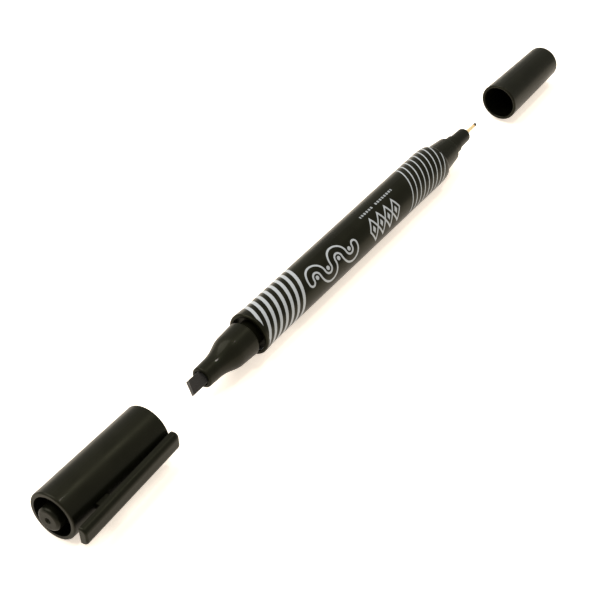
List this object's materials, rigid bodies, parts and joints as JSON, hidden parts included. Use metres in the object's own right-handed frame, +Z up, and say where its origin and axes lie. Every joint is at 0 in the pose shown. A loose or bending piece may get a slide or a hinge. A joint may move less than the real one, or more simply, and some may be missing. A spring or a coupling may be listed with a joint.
{
  "type": "felt tip marker",
  "caption": "Twin-tip felt marker with a chisel nib and a fine needle nib, a vented clip cap and a plain cap, both pulled off.",
  "frame": {"origin": "on the barrel's axis, halfway along the barrel", "axes": "+X along the barrel towards the fine nib, +Z up from the surface it lies on, the clip on the -Y side"},
  "size_m": [0.2145, 0.0167, 0.0122],
  "materials": {
    "barrel_plastic": "satin black with printed pale grey bands",
    "section_plastic": "satin black",
    "cap_plastic": "satin black",
    "cap_inner_plastic": "satin black",
    "chisel_felt": "ink-soaked bonded fibre",
    "needle_plastic": "ivory rod with an ink-black tip",
    "ink_fibre": "ink-soaked fibre bundle",
    "film": "clear film"
  },
  "bodies": {
    "marker": {"barrel": "barrel_plastic", "chisel_section": "section_plastic", "chisel_nib": "chisel_felt", "fine_tip_holder": "section_plastic", "fine_nib": "needle_plastic", "reservoir_core": "ink_fibre", "reservoir_film": "film"},
    "chisel_cap": {"chisel_cap_sleeve": "cap_plastic", "chisel_cap_inner": "cap_inner_plastic"},
    "clip": {"chisel_cap_clip": "cap_plastic"},
    "fine_cap": {"fine_cap_shell": "cap_plastic", "fine_cap_inner": "cap_inner_plastic"}
  },
  "joints": [
    {"name": "chisel_cap_slide", "type": "slide", "parent": "marker", "child": "chisel_cap", "axis": [1, 0, 0], "range_m": [0, 0.037]},
    {"name": "fine_cap_slide", "type": "slide", "parent": "marker", "child": "fine_cap", "axis": [-1, 0, 0], "range_m": [0, 0.0347]},
    {"name": "clip_flex", "type": "hinge", "parent": "chisel_cap", "child": "clip", "pos_m": [-0.1032, -0.00815, 0.00071], "axis": [0, -0.0872, -0.9962], "range_deg": [0, 5], "stiffness_Nm_per_rad": 0.5}
  ]
}
